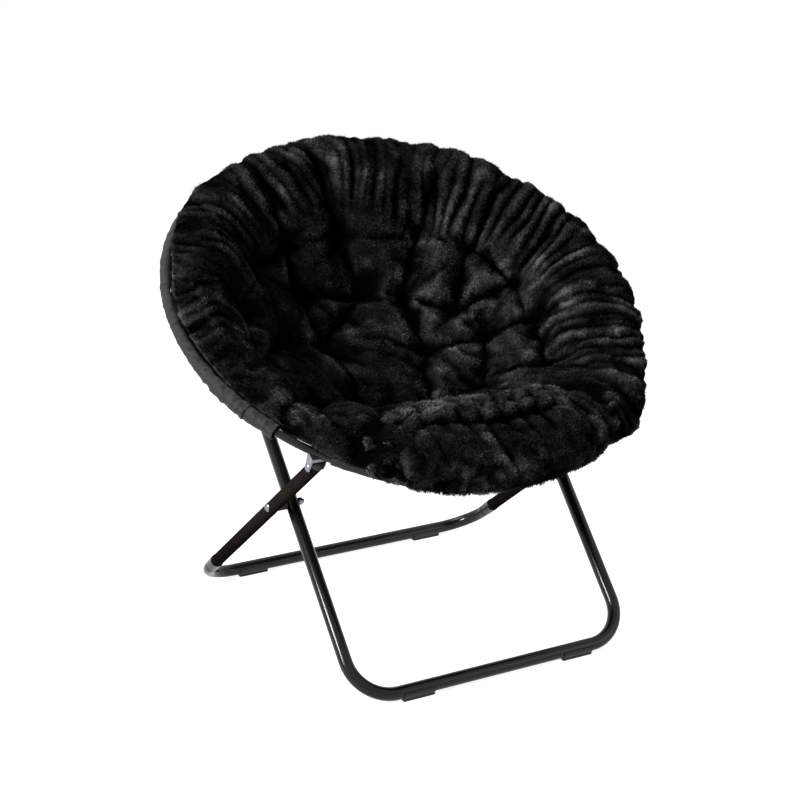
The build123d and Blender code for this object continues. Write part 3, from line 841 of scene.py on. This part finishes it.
for number, (distance, depth) in enumerate(roll["rows"]):
    off = np.abs(inward - (distance + 0.006 * np.sin(points[:, 0] * 31 + number * 2)))
    hollow = np.maximum(hollow, depth * np.exp(-off / roll["rowWidth"]))
    gaps = np.abs((points[:, 0] * 27 + 0.3 * number + 0.2 * np.sin(points[:, 0] * 19)) % 1 - 0.5)
    pinned = np.where((off < 0.004) & (gaps < 0.14), 1.0, pinned)
    ridge = np.abs(np.sin(points[:, 0] * 27 * math.pi + number)) ** 0.6 - 0.5
    hollow = hollow - roll["pleat"] * np.exp(-off / 0.026) * ridge
writePoints(frontRoll.data, points - normals * (hollow * rollTop)[:, None])
inflate(frontRoll, pinned, roll["pressure"], roll["shrink"], roll["reach"])
subdivideOnce(frontRoll)
points = readPoints(frontRoll.data)
normals = readNormals(frontRoll.data)
crumple = 0.0028 * waves(points, 18, 11) + 0.0018 * waves(points, 48, 12)
keepBelow = smoothStep(-0.02, -0.005, points[:, 2])
writePoints(frontRoll.data, points + normals * (crumple * keepBelow)[:, None])
# a painted highlight along the roll's nose, turning to painted shade at its ends
nearNose = 1 - smoothStep(0.012, 0.045, rollNose(points[:, 0]) - points[:, 1])
nearEnd = smoothStep(0.19, 0.24, np.abs(points[:, 0]))
paintLightAndShade(frontRoll, {20: 0.013, 110: 0.030}, 0.95 + (0.12 - 0.2 * nearEnd) * nearNose)
frontRoll.data.transform(ringMatrix)
frontRoll.data.materials.append(plush)
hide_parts("front_pad")
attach(frontRoll, "front_ring")
print("front roll made:", len(points), "points")


# cloth under the seat and round the ring
def liningHalf(name, keepBack):
    line = [(0.0, bowlHeight(0.0, 0.0005))]
    line += [(0.012 * i, bowlHeight(0.012 * i, 0.0005)) for i in range(1, 35)]
    line += [(0.4240, bowlHeight(0.4240, 0.0005)), (0.4300, 0.0035)]
    bm = spinLine(line, 144)
    side = 1 if keepBack else -1
    bmesh.ops.bisect_plane(
        bm, geom=bm.verts[:] + bm.edges[:] + bm.faces[:], dist=1e-6,
        plane_co=(0, chair["foldLine"] + side * 0.0006, 0), plane_no=(0, -side, 0), clear_outer=True,
    )
    half = addObject(name, bm, None, casingCloth)
    points = readPoints(half.data)
    normals = readNormals(half.data)
    radii = np.hypot(points[:, 0], points[:, 1])
    angles = np.arctan2(points[:, 1], points[:, 0]) + waves(points, 8, 21) * 0.12
    tucks = 0.0016 * (np.abs(np.sin(angles * 45)) ** 0.6 - 1) * smoothStep(0.30, 0.41, radii)
    slack = 0.0012 * (waves(points, 11, 22) - 1)
    facing = np.sign(normals[:, 2])
    writePoints(half.data, points + normals * ((tucks + slack) * facing)[:, None])
    half.data.transform(ringMatrix)
    thick = half.modifiers.new("thick", "SOLIDIFY")
    thick.thickness = 0.0014
    thick.offset = 0
    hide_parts(f"lining_{name[6:].lower()}")
    return half


liningBack = liningHalf("liningBack", True)
liningFront = liningHalf("liningFront", False)
for half, body, cut in ((liningBack, "back_ring", (0.86, 0.72)), (liningFront, "front_ring", (0.83, 0.30))):
    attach(half, body)

casings = {
    # for each casing in the CAD model, its first and last angle from +X and its body
    "sleeve_front": (228.57, 311.43, "front_ring"),
    "sleeve_front_left": (206.20, 215.01, "front_ring"),
    "sleeve_front_right": (324.99, 333.80, "front_ring"),
    "sleeve_back_right": (-17.86, 48.49, "back_ring"),
    "sleeve_back_left": (131.51, 197.86, "back_ring"),
    "sleeve_rear": (54.74, 125.26, "back_ring"),
}


tubeCloth = {
    "casing": 0.0094,
    "cover": 0.0104,
    "coverSpan": 156,
    "thick": 0.0012,
    "wide": 0.0605,
    # the cuff on the left is looser
    "cuffWide": 0.078,
    "cuffOut": 0.42,
}


def clothTube(name, start, end, radius, span, lean):
    # cloth round the ring's tube between two angles; span and lean are those of its section
    bm = bmesh.new()
    sections = bmesh.ops.create_circle(bm, cap_ends=False, segments=28, radius=radius)["verts"]
    if span < 360:
        far = [v for v in sections if math.degrees(abs(math.atan2(v.co.y, v.co.x))) > span / 2]
        bmesh.ops.delete(bm, geom=far, context="VERTS")
        sections = bm.verts[:]
        bmesh.ops.rotate(bm, verts=sections, matrix=Matrix.Rotation(math.radians(lean), 3, "Z"))
    bmesh.ops.rotate(bm, verts=sections, matrix=Matrix.Rotation(math.pi / 2, 3, "X"))
    bmesh.ops.translate(bm, verts=sections, vec=(chair["ringRadius"], 0, 0))
    bmesh.ops.rotate(bm, verts=sections, cent=(0, 0, 0), matrix=Matrix.Rotation(math.radians(start), 3, "Z"))
    bmesh.ops.spin(
        bm, geom=bm.verts[:] + bm.edges[:], cent=(0, 0, 0), axis=(0, 0, 1),
        angle=math.radians(end - start), steps=max(24, int((end - start) * 4.4)), use_duplicate=False,
    )
    bmesh.ops.recalc_face_normals(bm, faces=bm.faces)
    tube = addObject(name, bm, None, casingCloth)
    points = readPoints(tube.data)
    normals = readNormals(tube.data)
    flatRadii = np.hypot(points[:, 0], points[:, 1])[:, None]
    core = points * np.array([1, 1, 0]) * chair["ringRadius"] / flatRadii
    outward = np.sign((normals * (points - core)).sum(1).mean())
    # a loose cuff on the left, ahead of the bare steel
    turn = np.degrees(np.arctan2(points[:, 1], points[:, 0])) % 360
    cuff = smoothStep(178, 206, turn) * (turn < 216)
    points = core + (points - core) * (1 + tubeCloth["cuffOut"] * cuff)[:, None]
    pleats = 0.0012 * waves(points, 60, 31) + 0.0010 * waves(points * np.array([1, 1, 0.2]), 130, 32)
    writePoints(tube.data, points + normals * (outward * pleats * (1 + cuff))[:, None])
    tube.data.transform(ringMatrix)
    thick = tube.modifiers.new("thick", "SOLIDIFY")
    thick.thickness = tubeCloth["thick"]
    thick.offset = -outward
    return tube


for number, (node, (start, end, body)) in enumerate(casings.items()):
    casing = clothTube("casing" + str(number), start, end, tubeCloth["casing"], 360, 0)
    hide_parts(node)
    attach(casing, body)

hingeCovers = {
    # a strip over the outside of each hinge, sewn to the back casing
    "hingeCoverLeft": {"start": 197.0, "end": 207.2, "lean": 42, "flat": (0.039, 0.0783)},
    "hingeCoverRight": {"start": 332.8, "end": 343.0, "lean": 42, "flat": (0.028, 0.0783)},
}
for name, cover in hingeCovers.items():
    strip = clothTube(
        name, cover["start"], cover["end"], tubeCloth["cover"], tubeCloth["coverSpan"], cover["lean"]
    )
    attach(strip, "back_ring")
    along = (ringMatrix.to_3x3() @ Vector((0, -1, 0))).normalized()
    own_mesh(strip)
print("lining and casings made")


# pile
def bladePoints():
    # one bent blade: two quarters wide at its root, narrowing to its tip, along y
    bm = bmesh.new()
    bmesh.ops.create_grid(bm, x_segments=1, y_segments=2, size=0.5)
    bmesh.ops.translate(bm, verts=bm.verts, vec=(0, 0.5, 0))
    tip = [v for v in bm.verts if v.co.y > 0.9]
    bmesh.ops.pointmerge(bm, verts=tip, merge_co=(0, 1, 0))
    for vert in bm.verts:
        vert.co.z = 0.35 * vert.co.y**2
    bm.verts.index_update()
    points = np.array([v.co for v in bm.verts])
    faces = [[v.index for v in f.verts] for f in bm.faces]
    bm.free()
    return points, faces


def pileOn(name, piece, count, long, wide, lay, keep, seed):
    chance = np.random.default_rng(seed)
    mesh = piece.data
    mesh.calc_loop_triangles()
    tris = np.empty(len(mesh.loop_triangles) * 3, np.int32)
    mesh.loop_triangles.foreach_get("vertices", tris)
    tris = tris.reshape(-1, 3)
    points, normals = readPoints(mesh), readNormals(mesh)
    centres = points[tris].mean(1)
    normal = normals[tris].mean(1)
    first, second, third = (points[tris[:, k]] for k in range(3))
    areas = np.linalg.norm(np.cross(second - first, third - first), axis=1) * keep(centres, normal)
    chosen = chance.choice(len(tris), count, p=areas / areas.sum())
    mix = chance.dirichlet((1, 1, 1), count)
    roots = (points[tris[chosen]] * mix[:, :, None]).sum(1)
    up = (normals[tris[chosen]] * mix[:, :, None]).sum(1)
    up /= np.linalg.norm(up, axis=1)[:, None]
    # the pile lies one way in patches and is ruffled from blade to blade
    patch = np.stack([waves(roots, 9, seed + k) for k in range(3)], axis=1)
    lean = np.array(lay) + 1.6 * patch + 0.5 * chance.normal(size=(count, 3))
    lean -= (lean * up).sum(1)[:, None] * up
    grow = up * 0.75 + lean * 0.75
    grow /= np.linalg.norm(grow, axis=1)[:, None]
    across = np.cross(grow, up + 0.3 * chance.normal(size=(count, 3)))
    across /= np.linalg.norm(across, axis=1)[:, None]
    droop = np.cross(across, grow)
    blade, faces = bladePoints()
    size = long * (0.55 + 0.75 * chance.random(count))
    width = wide * (0.7 + 0.6 * chance.random(count))
    made = (
        roots[:, None] - up[:, None] * 0.0005
        + across[:, None] * blade[None, :, :1] * width[:, None, None]
        + grow[:, None] * blade[None, :, 1:2] * size[:, None, None]
        + droop[:, None] * blade[None, :, 2:] * (size * 0.5 * chance.normal(size=count))[:, None, None]
    )
    loops = np.concatenate([np.array(f) for f in faces])
    sizes = np.array([len(f) for f in faces])
    allLoops = (loops[None] + np.arange(count)[:, None] * len(blade)).ravel()
    firstLoops = np.concatenate([[0], np.cumsum(sizes)[:-1]])
    starts = (firstLoops[None] + np.arange(count)[:, None] * len(loops)).ravel()
    pileMesh = bpy.data.meshes.new(name)
    pileMesh.vertices.add(count * len(blade))
    pileMesh.loops.add(len(allLoops))
    pileMesh.polygons.add(len(starts))
    pileMesh.vertices.foreach_set("co", made.astype(np.float32).ravel())
    pileMesh.loops.foreach_set("vertex_index", allLoops.astype(np.int32))
    pileMesh.polygons.foreach_set("loop_start", starts.astype(np.int32))
    pileMesh.update(calc_edges=True)
    # each blade takes the painted light and shade of the padding at its root
    height = np.empty(len(points), np.float32)
    mesh.attributes["crest"].data.foreach_get("value", height)
    bladeLight = height[tris[chosen]].mean(1) * (0.7 + 0.42 * chance.random(count))
    crest = pileMesh.attributes.new("crest", "FLOAT", "POINT")
    crest.data.foreach_set("value", np.repeat(np.clip(bladeLight, 0, 1), len(blade)).astype(np.float32))
    hairs = bpy.data.objects.new(name, pileMesh)
    bpy.context.scene.collection.objects.link(hairs)
    pileMesh.materials.append(pile)
    return hairs


ringPart = np.array(ringMatrix.inverted())

furLimits = {
    # radii and heights in the ring's plane between which pile grows
    "rim": 0.440,
    "rimTop": 0.0145,
    "flap": 0.455,
    "flapAngles": (290, 345),
    "skirt": 0.450,
    "hemTop": -0.002,
}


def inRing(points):
    return points @ ringPart[:3, :3].T + ringPart[:3, 3]


def furSide(centres, normals):
    # everything above the padding's underside, but not the faces of the fold
    local = inRing(centres)
    turned = normals @ ringPart[:3, :3].T
    onCut = (np.abs(local[:, 1] - chair["foldLine"]) < 0.002) & (np.abs(turned[:, 1]) > 0.8)
    turn = np.degrees(np.arctan2(local[:, 1], local[:, 0])) % 360
    radii = np.hypot(local[:, 0], local[:, 1])
    edge = (radii > furLimits["rim"] - hem["inset"] * leftShare(turn)) & (local[:, 2] < furLimits["rimTop"])
    low, high = furLimits["flapAngles"]
    flap = (radii > furLimits["flap"]) & (turn > low) & (turn < high)
    return np.maximum(topShare(local) * ~edge, flap) * ~onCut


def rollSide(centres, normals):
    turned = normals @ ringPart[:3, :3].T
    local = inRing(centres)
    outside = np.hypot(local[:, 0], local[:, 1]) > furLimits["skirt"]
    return ((turned[:, 2] > -0.1) | outside).astype(float)


def rollHem(centres, normals):
    local = inRing(centres)
    outside = np.hypot(local[:, 0], local[:, 1]) > furLimits["skirt"]
    return ((local[:, 2] < furLimits["hemTop"]) & outside).astype(float)


lay = np.array([0.0, -0.25, -0.5])
pileSize = {"long": 0.0044, "wide": 0.0007}
fringeSize = {"long": 0.0065, "wide": 0.0008}
piles = [
    ("pileBackA", seatHalves["back"], "back_ring", 62000, pileSize, furSide, 41),
    ("pileBackB", seatHalves["back"], "back_ring", 62000, pileSize, furSide, 42),
    ("pileFront", seatHalves["front"], "front_ring", 36000, pileSize, furSide, 43),
    ("pileRoll", frontRoll, "front_ring", 52000, pileSize, rollSide, 44),
    ("pileFringe", frontRoll, "front_ring", 4500, fringeSize, rollHem, 45),
]
for name, piece, body, count, size, keep, seed in piles:
    hairs = pileOn(name, piece, count, size["long"], size["wide"], lay, keep, seed)
    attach(hairs, body)
    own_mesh(hairs)
for half in (*seatHalves.values(), frontRoll, liningBack, liningFront):
    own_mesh(half)
print("pile made")
